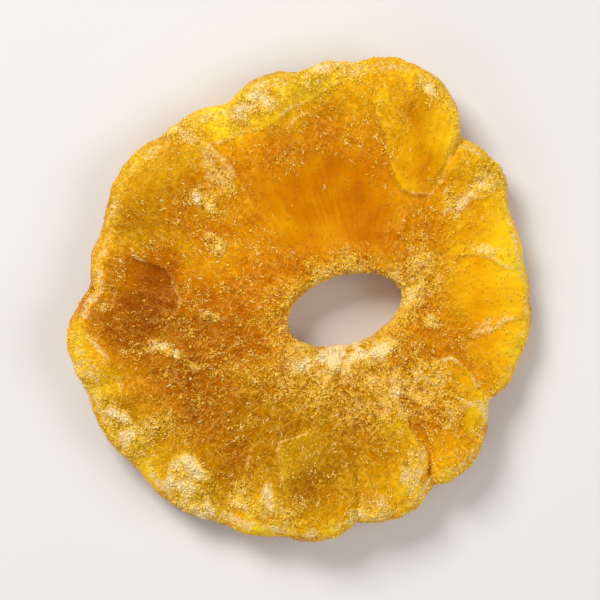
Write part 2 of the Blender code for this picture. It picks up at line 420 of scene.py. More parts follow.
# Where syrup dried to a milky veil without grains.
VEIL = {
    "lip": (-5, 29.5, 11, 3.4, 28, 0.12, 0.8),
    "dome_edge": (-13, 20, 8, 3, -55, 0.25, 0.8),
    "notch_wedge": (-16.8, -27, 5.8, 2.8, -72, 0.5, 0.8),
    "slit_flap": (16.6, -25.8, 5.5, 1.9, 86, 0.85, 0.8),
    "bottom_corner": (11, -30.2, 3.4, 2.2, 30, 0.5, 0.8),
    "left_rim": (-31, -11, 4, 2.2, -60, 0.5, 0.8),
    "right_fold": (26.6, 7.4, 4.6, 1.8, -14, 0.5, 0.9),
    "right_fold_high": (25.4, 15.8, 5, 1.8, 38, 0.5, 0.9),
    "right_fold_low": (27.4, -3.6, 4.6, 1.5, 14, 0.45, 0.9),
    "small_lobe": (27.4, -17.8, 4.2, 1.1, -82, 0.75, 0.6),
    "small_lobe_top": (26, -14.9, 2.4, 0.9, 5, 0.75, 0.6),
}
# Where no grains cling, how bare it is, and the share that is sloping edge.
BARE = {
    "basin": (4, 14.5, 13, 9, 5, 1, 0.4),
    "tongue": (17.5, 21.5, 5.5, 8.5, -15, 0.8, 0.5),
    "dome": (-23, 16.5, 8.5, 6.5, 45, 0.6, 0.9),
    "right": (29, 3, 8, 15, 0, 0.95, 0.6),
    "hollow": (-23, 3.5, 7, 4, -18, 0.6, 0.6),
    "bottom_flap": (0, -25, 6, 5, 10, 0.2, 0.8),
    "lower_left_rim": (-22, -26, 5, 2.4, -45, 0.9, 0.7),
    "small_lobe": (25.6, -17.2, 2.4, 2, 0, 1, 0.4),
}
# Steps along the ramp of tones, where up is yellower. They are partly the flesh's own colour and partly
# painted light and shade: darker in the left hollow and along the left side, as shade, and yellower at the
# right rim, as light shining through it.
TONE = {
    "left_hollow": (-22.8, 2.8, 8, 5.6, -25, -0.28, 0.4),
    "left_middle": (-14, -2, 15, 9, -10, -0.3, 0.9),
    "basin": (3, 14, 14, 9, 5, -0.03, 0.7),
    "lower_half": (0, -20, 30, 14, 0, 0.1, 0.8),
    "right_rim": (30, 2, 11, 22, 0, 0.25, 0.9),
    "right_middle": (20, 3, 8, 11, 0, 0.1, 0.9),
    "right_upper": (25, 12, 8, 7, 30, 0.12, 0.9),
    "left_rim": (-32, -1, 7, 8, 0, -0.28, 0.8),
    "left_low": (-26, -4, 9, 8, 20, -0.3, 0.9),
    "upper_right": (21, 24, 16, 11, 50, 0.08, 0.8),
    "tongue_middle": (16.2, 27, 5.5, 2.6, -70, -0.17, 0.9),
    "tongue_low": (17.2, 19.3, 3.4, 2.4, 70, -0.1, 0.9),
    "top_lip": (-4, 31, 17, 7, 22, 0.3, 0.5),
    "upper_left": (-23, 20, 10, 9, 40, 0.04, 0.8),
    "bottom_rim": (2, -32, 24, 7, 0, 0.06, 0.9),
    "bottom_flap": (1, -25, 7, 6, 10, -0.08, 0.9),
    "lower_left_field": (-14, -13, 11, 10, -30, -0.24, 0.8),
    "lower_left_rim": (-24, -22, 14, 7, -50, 0.07, 0.9),
    "small_lobe": (25.6, -17.2, 2.6, 2.2, 0, 0.22, 0.4),
}
# Painted light and shade: how much brighter or darker the flesh is than its tone. It is brighter on the
# right, as light shining through the thin rim, and darker at the left, the top and the bottom, as shade.
PAINTED_LIGHT_AND_SHADE = {
    "basin": (3, 14, 14, 9, 5, -0.05, 0.7),
    "lower_half": (-2, -20, 30, 14, -8, -0.3, 0.8),
    "lower_left": (-18, -10, 15, 11, -30, -0.06, 0.9),
    "upper_left": (-22, 16, 12, 10, 40, -0.31, 0.9),
    "left": (-23, -2, 14, 11, 0, -0.18, 0.9),
    "left_rim": (-26, -18, 6, 9, 30, -0.31, 0.9),
    "inner_left": (-7, 4, 9, 7, -20, 0.12, 0.9),
    "left_low": (-28, -3.5, 9, 8.5, 20, -0.13, 0.9),
    "lip": (-5, 30, 13, 5, 28, -0.06, 0.8),
    "upper_right": (19, 25, 11, 9, 50, -0.1, 0.9),
    "notch": (-16, -27, 7, 6, 0, -0.15, 0.9),
    "top": (8, 29, 14, 7, 0, -0.12, 0.9),
    "right": (31, -5, 9, 19, 0, 0.12, 0.9),
    "bottom": (2, -28, 12, 9, 0, -0.21, 0.9),
    "small_lobe": (25.6, -17.2, 2.6, 2.2, 0, -0.1, 0.4),
}
BASE_TONE = 0.40
RIM_TONE = 0.26
RIM_TONE_START = 0.62
print(sum(len(patches) for patches in (CRUST, VEIL, BARE, TONE, PAINTED_LIGHT_AND_SHADE)), "patches of sugar and of colour")

# %% [markdown]
# ## The ring itself
#
# The ring is a surface of two parameters. One runs round it, and the other runs round the section of its
# band, a squared oval: over the top from the rim to the hole, down the hole's wall, and back underneath.
# More steps are spent on the upper side than on the under one, because it carries the finer relief.

# %% The section of the band
RIM_SQUARENESS = 4.4
HOLE_SQUARENESS = 4.4
SECTION_HALF_WIDTH = 13.0
STEPS_ROUND = 620
STEPS_OVER = 106
STEPS_UNDER = 50
SECTION_SAMPLES = 2001


def section_at(fraction):
    """A point at even steps round the squared oval |across|^p + |height|^p = 1, both from -1 to 1."""
    fine = np.linspace(0.0, 2.0 * np.pi, SECTION_SAMPLES)
    power = 2.0 / np.where(np.cos(fine) > 0, RIM_SQUARENESS, HOLE_SQUARENESS)
    across = np.sign(np.cos(fine)) * np.abs(np.cos(fine)) ** power
    height = np.sign(np.sin(fine)) * np.abs(np.sin(fine)) ** power
    step = np.hypot(SECTION_HALF_WIDTH * np.diff(across), THICKNESS / 2.0 * np.diff(height))
    travelled = np.concatenate([[0.0], np.cumsum(step)])
    index = np.arange(SECTION_SAMPLES)
    place = np.interp(fraction, travelled / travelled[-1], index)
    return np.interp(place, index, across), np.interp(place, index, height)


# %% The ring's smooth form, with its crests
def ring_form(angle, across, height):
    """Between hole and rim by share, and between the two faces by height: x, y, z and the crests' masks."""
    share = (across + 1.0) / 2.0
    hole_x, hole_y = hole_edge(angle)
    radius = rim_radius(angle)
    x = (1.0 - share) * hole_x + share * radius * np.cos(angle)
    y = (1.0 - share) * hole_y + share * radius * np.sin(angle)
    seam = SEAM_DEPTH * seam_strength(angle, share)
    crest_height, ridges, flaps = crests(x, y)
    on_top = smooth_step(2.0 * height)
    bend = curl(x, y)
    upper = bend + THICKNESS + THICKENING_AT_CORE * (1.0 - share) ** 2 + patched(x, y, UPPER_RELIEF) - seam
    under = bend + patched(x, y, UNDER_RELIEF) + UNDER_SEAM_SHARE * seam
    z = (upper + under) / 2.0 + height * (upper - under) / 2.0 + on_top * crest_height
    return x, y, z, on_top * ridges, on_top * flaps


def outward(grid):
    """Unit normals of a grid closed both ways: the cross product of the steps along its two directions."""
    along = np.roll(grid, -1, axis=0) - np.roll(grid, 1, axis=0)
    over = np.roll(grid, -1, axis=1) - np.roll(grid, 1, axis=1)
    normal = np.cross(along, over)
    return normal / np.maximum(np.linalg.norm(normal, axis=2, keepdims=True), 1e-12)


turns = np.linspace(0.0, 2.0 * np.pi, STEPS_ROUND, endpoint=False)
over_and_under = np.concatenate(
    [np.linspace(0.0, 0.5, STEPS_OVER, endpoint=False), np.linspace(0.5, 1.0, STEPS_UNDER, endpoint=False)]
)
angle = np.repeat(turns, len(over_and_under))
across, height = section_at(np.tile(over_and_under, STEPS_ROUND))
share = (across + 1.0) / 2.0
x, y, z, crest, flap = ring_form(angle, across, height)
x -= (x.max() + x.min()) / 2.0
y -= (y.max() + y.min()) / 2.0
z -= z.min() + FLAT_DEPTH
grid_shape = (STEPS_ROUND, len(over_and_under))
print("grid", grid_shape, "gives", 2 * len(x), "triangles")

# %% [markdown]
# ## Wrinkles, fibres and crust
#
# On the smooth form come finer reliefs, all pushed out along the surface's normal: the leathery skin, the
# fibres and broader flutes that fan out from the core, lumps of crust where the sugar is thick, and a
# crinkled rim. What would then reach below the table is pressed flat on it, as the real slice's weight
# does. Masks from 0 to 1 say where each of them belongs, and the materials read the same masks later.

# %% Masks of the rim, the core's lip and the underside
EDGE_START = 0.8
EDGE_WIDTH = 0.2
CORE_LIP_SHARE = 0.16
# A pale line along the rim's top edge: partly a film of sugar and partly a painted highlight, painted
# strongest towards the lower left.
RIM_LINE_SHARE = 0.955
RIM_LINE_WIDTH = 0.020
RIM_LINE_LEAST = 0.35
RIM_LINE_EXTRA = 0.45
RIM_HIGHLIGHT_TOWARDS = 228

place = np.stack([x, y, z], axis=1)
upper_side = height > 0
edge = smooth_step((share - EDGE_START) / EDGE_WIDTH)
below = smooth_step(0.5 - height)
core_lip = smooth_step((CORE_LIP_SHARE - share) / CORE_LIP_SHARE)
rim_film_and_highlight = np.exp(-(((share - RIM_LINE_SHARE) / RIM_LINE_WIDTH) ** 2)) * upper_side
towards_rim_highlight = np.cos(angle - np.radians(RIM_HIGHLIGHT_TOWARDS))
rim_film_and_highlight *= RIM_LINE_LEAST + RIM_LINE_EXTRA * np.maximum(towards_rim_highlight, 0.0)
print("points on the upper side:", upper_side.sum())

# %% Masks of crust, milky film and rough, sugared felt
CRUST_PATCH = 1.7
COARSE_RAGGEDNESS = 1.5
FINE_RAGGEDNESS = 1.2
FINE_PATCH_SHARE = 0.45
UNDERSIDE = -0.3
UNDERSIDE_CRUST = 0.35
CREST_BREAKS = 2.4
CREST_BREAK_DEPTH = 1.2
EVEN_VEIL = 0.6
RAGGED_VEIL = 0.4
CREST_FILM = 0.9
LEAST_FELT = 0.18
CRUST_FELT = 1.8
EDGE_FELT = 0.15
BARE_FELT_LOSS = 0.95
UNDERSIDE_FELT_LOSS = 0.6

bare = patched(x, y, BARE) * upper_side
raggedness = 1.0 + COARSE_RAGGEDNESS * value_noise(place / CRUST_PATCH, seed=7)
raggedness += FINE_RAGGEDNESS * value_noise(place / (FINE_PATCH_SHARE * CRUST_PATCH), seed=8)
sugared = patched(x, y, CRUST) * np.where(height > UNDERSIDE, 1.0, UNDERSIDE_CRUST)
crust = np.clip(raggedness * sugared, 0.0, 1.0)
veil = patched(x, y, VEIL) * upper_side
broken = np.clip(0.5 + CREST_BREAK_DEPTH * value_noise(place / CREST_BREAKS, seed=14), 0.0, 1.0)
film = crust + (EVEN_VEIL + RAGGED_VEIL * raggedness) * veil
# Along the rim line the film is partly a painted highlight.
film = np.clip(film + CREST_FILM * broken * crest + raggedness * rim_film_and_highlight, 0.0, 1.0)
felt = np.clip(LEAST_FELT + CRUST_FELT * sugared + EDGE_FELT * edge, 0.0, 1.0)
felt *= 1.0 - BARE_FELT_LOSS * bare
felt *= 1.0 - UNDERSIDE_FELT_LOSS * below
print("mean crust", crust.mean().round(3), "film", film.mean().round(3), "felt", felt.mean().round(3))

# %% Fine relief
SKIN = [(4.5, 0.24, 1), (1.9, 0.15, 2), (0.9, 0.09, 9)]
FIBRE_CELLS_ROUND = 22.0
FIBRE_CELLS_ALONG = 3.0
FIBRE_HEIGHT = 0.05
FIBRE_ENDS = (0.05, 0.95)
SPLIT_FIBRES = 2.1
SPLIT_FIBRE_SHARE = 0.5
CRUST_LUMP = 0.9
CRUST_HEIGHT = 0.22
RIM_CRINKLE = 1.8
RIM_CRINKLE_HEIGHT = 0.22
FLUTE_CELLS_ROUND = 5.0
FLUTE_CELLS_ALONG = 1.2
FLUTE_HEIGHT = 0.30
FLUTE_START = 0.45
FLUTE_RISE = 0.4
BARE_SMOOTHNESS = 0.6

fibre_place = np.stack(
    [FIBRE_CELLS_ROUND * np.cos(angle), FIBRE_CELLS_ROUND * np.sin(angle), FIBRE_CELLS_ALONG * share], axis=1
)
fibre = value_noise(fibre_place, seed=3)
fibre += SPLIT_FIBRE_SHARE * value_noise(SPLIT_FIBRES * fibre_place, seed=4)
flute_cells = FLUTE_CELLS_ROUND / FIBRE_CELLS_ROUND
flute_place = fibre_place * (flute_cells, flute_cells, FLUTE_CELLS_ALONG / FIBRE_CELLS_ALONG)
flute = value_noise(flute_place, seed=13) * smooth_step((share - FLUTE_START) / FLUTE_RISE)
skin = sum(size * value_noise(place / wave, seed) for wave, size, seed in SKIN)
lumps = CRUST_HEIGHT * crust * np.abs(value_noise(place / CRUST_LUMP, seed=5))
crinkle = RIM_CRINKLE_HEIGHT * edge * value_noise(place / RIM_CRINKLE, seed=6)
along_fibres = FIBRE_HEIGHT * fibre * np.sin(np.pi * np.clip(share, *FIBRE_ENDS))
fine = skin + along_fibres + FLUTE_HEIGHT * flute * upper_side
fine = fine * (1.0 - BARE_SMOOTHNESS * bare) + lumps + crinkle
normals = outward(place.reshape(*grid_shape, 3)).reshape(-1, 3)
if normals[height.argmax(), 2] < 0:
    normals = -normals
place += fine[:, None] * normals
place[:, 2] = np.maximum(place[:, 2], 0.0)
print("fine relief from", fine.min().round(2), "to", fine.max().round(2), "mm")

# %% [markdown]
# ## Putting arrays into a mesh
#
# One helper takes points and faces as arrays. Another adds an attribute, a value at each point that the
# materials can read: that is how the lists of patches reach the colours.

# %% Mesh helpers
def make_piece(name, points, faces):
    """A new object from points in metres and faces that all have the same number of corners."""
    mesh = bpy.data.meshes.new(name)
    mesh.vertices.add(len(points))
    mesh.vertices.foreach_set("co", points.astype(np.float32).ravel())
    mesh.loops.add(faces.size)
    mesh.loops.foreach_set("vertex_index", faces.astype(np.int32).ravel())
    mesh.polygons.add(len(faces))
    mesh.polygons.foreach_set("loop_start", np.arange(0, faces.size, faces.shape[1], dtype=np.int32))
    mesh.update(calc_edges=True)
    piece = bpy.data.objects.new(name, mesh)
    bpy.context.scene.collection.objects.link(piece)
    return piece


def add_attribute(piece, name, values):
    """A value, or a vector, at each point of the piece's mesh."""
    kind, field = ("FLOAT", "value") if values.ndim == 1 else ("FLOAT_VECTOR", "vector")
    attribute = piece.data.attributes.new(name, kind, "POINT")
    attribute.data.foreach_set(field, values.astype(np.float32).ravel())


def closed_grid_faces(rows, columns):
    """Quads that join each grid point to the next row and column, round both ends."""
    row, column = np.meshgrid(np.arange(rows), np.arange(columns), indexing="ij")
    next_row, next_column = (row + 1) % rows, (column + 1) % columns
    corners = [(row, column), (next_row, column), (next_row, next_column), (row, next_column)]
    return np.stack([(r * columns + c).ravel() for r, c in corners], axis=1)


# %% The candied flesh
# The ridges are painted yellower, as a highlight on their raised edge.
RIDGE_HIGHLIGHT_TONE = 0.10
FLAP_TONE = 0.30
# Painted light and shade on the flutes: yellower on their crests and oranger in their troughs.
FLUTE_PAINTED_TONE = 0.12
CORE_LIP_TONE = 0.12
# The rim line is painted yellower, as a highlight on the top edge.
RIM_HIGHLIGHT_TONE = 0.35
# The lower half of the rim wall is darker and more amber, partly as thicker flesh and partly as painted shade
# under the edge.
UNDER_EDGE_THICKNESS_AND_SHADE = 0.30
FELT_SHADE = 0.32
# Painted light and shade on the flutes: brighter on their crests and darker in their troughs.
FLUTE_PAINTED_LIGHT = 0.16
# Painted light: the flesh is brighter towards the rim, as light shining through its thin edge.
RIM_PAINTED_LIGHT = 0.12
CORE_LIP_GLOW = 0.15
FILM_GLOW = 1.1
MOST_GLOW = 1.08

faces = closed_grid_faces(*grid_shape)
flesh = make_piece("candied_flesh", place * MM, faces)
flesh.data.shade_smooth()
rim_rise = smooth_step((share - RIM_TONE_START) / (1.0 - RIM_TONE_START))
tone = BASE_TONE + RIM_TONE * rim_rise + patched(x, y, TONE)
# Ridges and the rim line get a painted highlight, the flutes painted light and shade, and the lower rim wall,
# thicker there, painted shade.
tone = tone + RIDGE_HIGHLIGHT_TONE * crest + FLAP_TONE * flap + FLUTE_PAINTED_TONE * flute
tone = tone + CORE_LIP_TONE * core_lip + RIM_HIGHLIGHT_TONE * rim_film_and_highlight - UNDER_EDGE_THICKNESS_AND_SHADE * edge * below
tone = np.clip(tone, 0.0, 1.0)
# The flesh's brightness: painted light and shade from the patches, on the flutes and towards the rim,
# brighter round the core's lip, darker under sugared felt and paler under the milky film.
frost_and_painted_light = (1.0 + patched(x, y, PAINTED_LIGHT_AND_SHADE)) * (1.0 - FELT_SHADE * felt) * (1.0 + FLUTE_PAINTED_LIGHT * flute)
frost_and_painted_light *= 1.0 + RIM_PAINTED_LIGHT * edge + CORE_LIP_GLOW * core_lip
frost_and_painted_light = np.minimum(frost_and_painted_light + (FILM_GLOW - frost_and_painted_light) * film, MOST_GLOW)
flesh_values = {"tone": tone, "frost_and_painted_light": frost_and_painted_light, "film": film, "felt": felt, "along_fibre": fibre_place}
for name, values in flesh_values.items():
    add_attribute(flesh, name, values)
print("candied flesh:", len(flesh.data.polygons) * 2, "triangles")

# %% [markdown]
# ## Loose sugar
#
# Sugar grains are crystals 0.1 to 0.5 mm across, about half sunk in the sticky flesh. A particle system
# would be quick to set up but isn't kept when the model is exported, so each grain is a real small mesh:
# one crystal with its corners nudged, copied with its own size and turn. Their places are drawn by lot,
# with a chance that goes with the area of each cell of the grid and with how well sugar clings there.

# %% Drawing the grains' places
CLUMP = 1.1
LEAST_CLUMP = 0.06
WIDE_CLUMP = 3.0
WIDE_CLUMP_SHARE = 0.4
STEEP = 0.3
STEEP_CLING = 0.25
CLEAR_OF_TABLE = 0.6
STROKE_SPREAD = 0.7
STROKE_BEND = 0.10

place_grid = place.reshape(*grid_shape, 3)
normal_grid = outward(place_grid)
normal_grid *= np.sign((normal_grid.reshape(-1, 3) * normals).sum(axis=1)).reshape(*grid_shape, 1)
row_step = np.linalg.norm(np.roll(place_grid, -1, axis=0) - place_grid, axis=2).ravel()
column_step = np.linalg.norm(np.roll(place_grid, -1, axis=1) - place_grid, axis=2).ravel()
wide_clumps = WIDE_CLUMP_SHARE * value_noise(place / (WIDE_CLUMP * CLUMP), seed=12)
clumps = LEAST_CLUMP + np.maximum(value_noise(place / CLUMP, seed=10) + wide_clumps, 0.0)
side = np.where(normal_grid[:, :, 2].ravel() > STEEP, 1.0, STEEP_CLING) * (place[:, 2] > CLEAR_OF_TABLE)


def surface_at(rows, columns, grid):
    """The grid's value at fractional rows and columns, blended from the four grid points round it."""
    row, column = np.floor(rows).astype(int), np.floor(columns).astype(int)
    value = 0.0
    for i, j in itertools.product((0, 1), repeat=2):
        weight = np.abs(1 - i - (rows - row)) * np.abs(1 - j - (columns - column))
        value = value + weight[:, None] * grid[(row + i) % grid_shape[0], (column + j) % grid_shape[1]]
    return value


def draw_places(count, clinging, rng):
    """Fractional rows and columns, drawn by each grid cell's area times how well sugar clings to it."""
    chance = row_step * column_step * clinging
    drawn = rng.choice(len(chance), size=count, p=chance / chance.sum())
    return drawn // grid_shape[1] + rng.random(count), drawn % grid_shape[1] + rng.random(count)


def in_strokes(starts, links, gap, rng):
    """From each start a short, slightly bent line of places, gap mm apart, mostly along the fibres."""
    rows, columns = starts
    index = (rows.astype(int) % grid_shape[0]) * grid_shape[1] + columns.astype(int) % grid_shape[1]
    first_heading = rng.normal(0.0, STROKE_SPREAD, (len(rows), 1))
    heading = first_heading + rng.normal(0.0, STROKE_BEND, (len(rows), 1)) * np.arange(links)
    along_fibre = np.cumsum(np.cos(heading), axis=1) * gap / column_step[index][:, None]
    beside_it = np.cumsum(np.sin(heading), axis=1) * gap / row_step[index][:, None]
    return (rows[:, None] + beside_it).ravel(), (columns[:, None] + along_fibre).ravel()


# %% One crystal, copied many times
DIAMOND_REACH = 0.6
BLOCK = (
    np.array(list(itertools.product((-0.5, 0.5), repeat=3))),
    np.array([(0, 1, 3, 2), (4, 6, 7, 5), (0, 4, 5, 1), (2, 3, 7, 6), (0, 2, 6, 4), (1, 5, 7, 3)]),
)
DIAMOND = (
    DIAMOND_REACH * np.array([(1, 0, 0), (-1, 0, 0), (0, 1, 0), (0, -1, 0), (0, 0, 1), (0, 0, -1)]),
    np.array([(0, 2, 4), (2, 1, 4), (1, 3, 4), (3, 0, 4), (2, 0, 5), (1, 2, 5), (3, 1, 5), (0, 3, 5)]),
)
CRYSTAL_STRETCH = (0.7, 1.25)
CRYSTAL_NUDGE = 0.13
BRIGHTEST_BY_LOT = 0.45
STROKE_BRIGHTENING = 1.9
CRUST_BRIGHTENING = 0.8


def random_turns(count, rng):
    """Turning matrices from random unit quaternions (w, a, b, c)."""
    quaternion = rng.normal(size=(count, 4))
    w, a, b, c = (quaternion / np.linalg.norm(quaternion, axis=1, keepdims=True)).T
    return np.stack(
        [
            np.stack([1 - 2 * (b * b + c * c), 2 * (a * b - c * w), 2 * (a * c + b * w)], axis=1),
            np.stack([2 * (a * b + c * w), 1 - 2 * (a * a + c * c), 2 * (b * c - a * w)], axis=1),
            np.stack([2 * (a * c - b * w), 2 * (b * c + a * w), 1 - 2 * (a * a + b * b)], axis=1),
        ],
        axis=1,
    )


def sugar(name, form, places, sizes, lift, links, rng):
    """Crystals at the given places, sized from least to most, each lifted out by a share of its size.

    Crystals that are links of one stroke share its brightness.
    """
    corners, sides = form
    count = len(places[0])
    spot = surface_at(*places, place_grid)
    normal = surface_at(*places, normal_grid)
    # Each grain takes the crust, tone and painted light and shade of the flesh under it.
    under = surface_at(*places, np.stack([crust, tone, frost_and_painted_light], axis=1).reshape(*grid_shape, 3))
    least, most = sizes
    size = least + (most - least) * rng.random(count) ** 2.0
    stretch = rng.uniform(*CRYSTAL_STRETCH, (count, 1, 3))
    nudge = rng.uniform(-CRYSTAL_NUDGE, CRYSTAL_NUDGE, (count, len(corners), 3))
    crystal = (corners * stretch + nudge) * size[:, None, None]
    crystal = np.einsum("nij,nkj->nki", random_turns(count, rng), crystal)
    points = crystal + (spot + normal * (size * lift)[:, None])[:, None, :]
    points[:, :, 2] = np.maximum(points[:, :, 2], 0.0)
    numbered = sides[None] + len(corners) * np.arange(count)[:, None, None]
    piece = make_piece(name, points.reshape(-1, 3) * MM, numbered.reshape(-1, sides.shape[1]))
    thick, flesh_tone, flesh_painted_light = np.repeat(under, len(corners), axis=0).T
    by_lot = np.repeat(rng.random(count // links) ** 2.0, links)
    brightness = BRIGHTEST_BY_LOT * by_lot * (1.0 if links == 1 else STROKE_BRIGHTENING)
    add_attribute(piece, "tint", np.repeat(brightness, len(corners)) + CRUST_BRIGHTENING * thick)
    add_attribute(piece, "tone", flesh_tone)
    add_attribute(piece, "frost_and_painted_light", flesh_painted_light)
    print(name, count, "crystals of", least, "to", most, "mm")
    return piece


# %% [markdown]
# Four kinds are enough: a few coarse crystals that catch the eye, the common grain, a fine dust that
# thickens the white patches, and grains lined up in short bent strokes, where they caught on wrinkles of
# dried syrup.

# %% Coarse, common and fine sugar, and strokes of it
# The crystal, how many are drawn, least and most size in mm, lift in sizes, and links to a stroke.
SUGAR_KINDS = {
    "coarse_sugar": (BLOCK, 600, (0.28, 0.45), 0.0, 1),
    "common_sugar": (BLOCK, 9500, (0.16, 0.34), 0.05, 1),
    "fine_sugar": (DIAMOND, 20000, (0.12, 0.26), 0.1, 1),
    "stroke_sugar": (DIAMOND, 4200, (0.15, 0.27), 0.1, 4),
}
LINK_GAP = 0.15
# Sugar clings best to crust, and a little to felt.
clinging = {
    "coarse_sugar": (0.05 * felt + crust) * side,
    "common_sugar": (0.25 * felt**1.3 + crust) * clumps * side,
    "fine_sugar": (0.001 + 0.13 * felt + crust**1.3) * (0.3 + clumps) * side,
    "stroke_sugar": (0.002 + felt) * clumps * side,
}
rng = np.random.default_rng(11)
loose_sugar = {}
for name, (form, count, sizes, lift, links) in SUGAR_KINDS.items():
    places = draw_places(count, clinging[name], rng)
    if links > 1:
        places = in_strokes(places, links, LINK_GAP, rng)
    loose_sugar[name] = sugar(name, form, places, sizes, lift, links, rng)

# %% [markdown]
# ## Materials
#
# Node trees are built by a small helper: it adds a node, sets its inputs, and links an input when it is
# given another node's output. Two things are node groups, because flesh and sugar both use them: the masks
# of the frost, and the colour of the flesh.

# %% Node helpers
def add_node(tree, kind, inputs=(), **settings):
    """Adds a node, with its settings, and sets or links the inputs, given by name or number."""
    node = tree.nodes.new(kind)
    for name, value in settings.items():
        setattr(node, name, value)
    for name, value in dict(inputs).items():
        if isinstance(value, bpy.types.NodeSocket):
            tree.links.new(value, node.inputs[name])
        else:
            node.inputs[name].default_value = value
    return node


def maths(tree, operation, first, second=0.0, clamp=False):
    """The output of a Math node."""
    inputs = {0: first, 1: second}
    return add_node(tree, "ShaderNodeMath", inputs, operation=operation, use_clamp=clamp).outputs[0]


def vector_maths(tree, operation, first, second):
    """The output of a Vector Math node."""
    return add_node(tree, "ShaderNodeVectorMath", {0: first, 1: second}, operation=operation).outputs[0]


def mapped(tree, value, from_range, to_range=(0.0, 1.0)):
    """The output of a Map Range node, which carries one range onto the other and stops at its ends."""
    inputs = dict(enumerate((value, *from_range, *to_range)))
    return add_node(tree, "ShaderNodeMapRange", inputs).outputs[0]


def ramp(tree, value, stops):
    """The colour output of a ramp with the given (place, colour) stops."""
    node = add_node(tree, "ShaderNodeValToRGB", {0: value})
    elements = node.color_ramp.elements
    for place_on_ramp, colour in stops[1:-1]:
        elements.new(place_on_ramp).color = (*colour, 1.0)
    elements[0].position, elements[0].color = stops[0][0], (*stops[0][1], 1.0)
    elements[len(stops) - 1].position, elements[len(stops) - 1].color = stops[-1][0], (*stops[-1][1], 1.0)
    return node.outputs["Color"]


def mixed_colour(tree, share_socket, first, second):
    """The colour output of a Mix node."""
    node = tree.nodes.new("ShaderNodeMix")
    node.data_type = "RGBA"
    colours = [socket for socket in node.inputs if socket.type == "RGBA"]
    for socket, value in zip(colours, (first, second)):
        if isinstance(value, bpy.types.NodeSocket):
            tree.links.new(value, socket)
        else:
            socket.default_value = (*value, 1.0)
    tree.links.new(share_socket, node.inputs[0])
    return next(socket for socket in node.outputs if socket.type == "RGBA")


# %% The frost group
FULL_CRUST = 0.8
GRAIN_CHANCE = (0.12, 1.0)
GRAIN_EDGE = (0.55, 0.15)
DIMMEST_GRAIN = 0.35
STROKE_TURNS = (0.6, -0.9)
STROKE_WAVES = (800.0, 2300.0, 1500.0)
STROKE_PEAK = (0.55, 0.63)


def frost_group():
    """Two frost masks.

    Grains are the middles of random cells, and a cell has one when its random number is below the crust.
    Strokes are the peaks of two noises, each stretched in its own direction.
    """
    group = bpy.data.node_groups.new("Sugar frost", "ShaderNodeTree")
    for name, kind in (("Place", "Vector"), ("Crust", "Float"), ("Grains per metre", "Float")):
        group.interface.new_socket(name, in_out="INPUT", socket_type="NodeSocket" + kind)
    for name in ("Grains", "Strokes"):
        group.interface.new_socket(name, in_out="OUTPUT", socket_type="NodeSocketFloat")
    entry = group.nodes.new("NodeGroupInput").outputs
    leave = group.nodes.new("NodeGroupOutput").inputs
    cell_inputs = {"Vector": entry["Place"], "Scale": entry["Grains per metre"]}
    cells = add_node(group, "ShaderNodeTexVoronoi", cell_inputs).outputs
    lot = add_node(group, "ShaderNodeSeparateColor", {"Color": cells["Color"]}).outputs
    chance = mapped(group, entry["Crust"], (0.0, FULL_CRUST), GRAIN_CHANCE)
    drawn = maths(group, "LESS_THAN", lot[0], chance)
    dots = maths(group, "MULTIPLY", drawn, mapped(group, cells["Distance"], GRAIN_EDGE))
    grains = maths(group, "MULTIPLY", dots, maths(group, "ADD", lot[1], DIMMEST_GRAIN), clamp=True)
    strokes = 0.0
    for turn in STROKE_TURNS:
        turn_inputs = {"Vector": entry["Place"], "Angle": turn}
        turned = add_node(group, "ShaderNodeVectorRotate", turn_inputs, rotation_type="Z_AXIS").outputs[0]
        stretched = vector_maths(group, "MULTIPLY", turned, STROKE_WAVES)
        wisps = {"Vector": stretched, "Scale": 1.0, "Detail": 1.0, "Distortion": 1.0}
        peaks = add_node(group, "ShaderNodeTexNoise", wisps).outputs[0]
        strokes = maths(group, "MAXIMUM", strokes, mapped(group, peaks, STROKE_PEAK))
    group.links.new(grains, leave["Grains"])
    group.links.new(strokes, leave["Strokes"])
    return group


SUGAR_FROST = frost_group()


# %% The flesh colour group
FLESH_TONES = [
    (0.0, (0.38, 0.075, 0.0003)),
    (0.35, (0.62, 0.185, 0.0003)),
    (0.65, (0.80, 0.355, 0.0006)),
    (1.0, (1.0, 0.610, 0.010)),
]


def flesh_colour_group():
    """The ramp of tones, from the hollow's burnt orange to the rim's yellow, times the painted light and
    shade.
    """
    group = bpy.data.node_groups.new("Flesh colour", "ShaderNodeTree")
    for name in ("Tone", "Frost and painted light"):
        group.interface.new_socket(name, in_out="INPUT", socket_type="NodeSocketFloat")
    group.interface.new_socket("Colour", in_out="OUTPUT", socket_type="NodeSocketColor")
    entry = group.nodes.new("NodeGroupInput").outputs
    leave = group.nodes.new("NodeGroupOutput").inputs
    toned = ramp(group, entry["Tone"], FLESH_TONES)
    lit = vector_maths(group, "MULTIPLY", toned, entry["Frost and painted light"])
    group.links.new(vector_maths(group, "MINIMUM", lit, (1.0, 1.0, 1.0)), leave["Colour"])
    return group


FLESH_COLOUR = flesh_colour_group()
print("node groups:", [group.name for group in bpy.data.node_groups])


# %% What both materials use
def new_material(name, settings):
    """A material, its node tree, and its Principled shader with these settings."""
    material = bpy.data.materials.new(name)
    material.use_nodes = True
    shader = material.node_tree.nodes["Principled BSDF"]
    for socket, value in settings.items():
        shader.inputs[socket].default_value = value
    return material, material.node_tree, shader


def read_values(tree, *names):
    """The numbers that the piece's attributes of these names hold."""
    return [add_node(tree, "ShaderNodeAttribute", attribute_name=name).outputs["Fac"] for name in names]


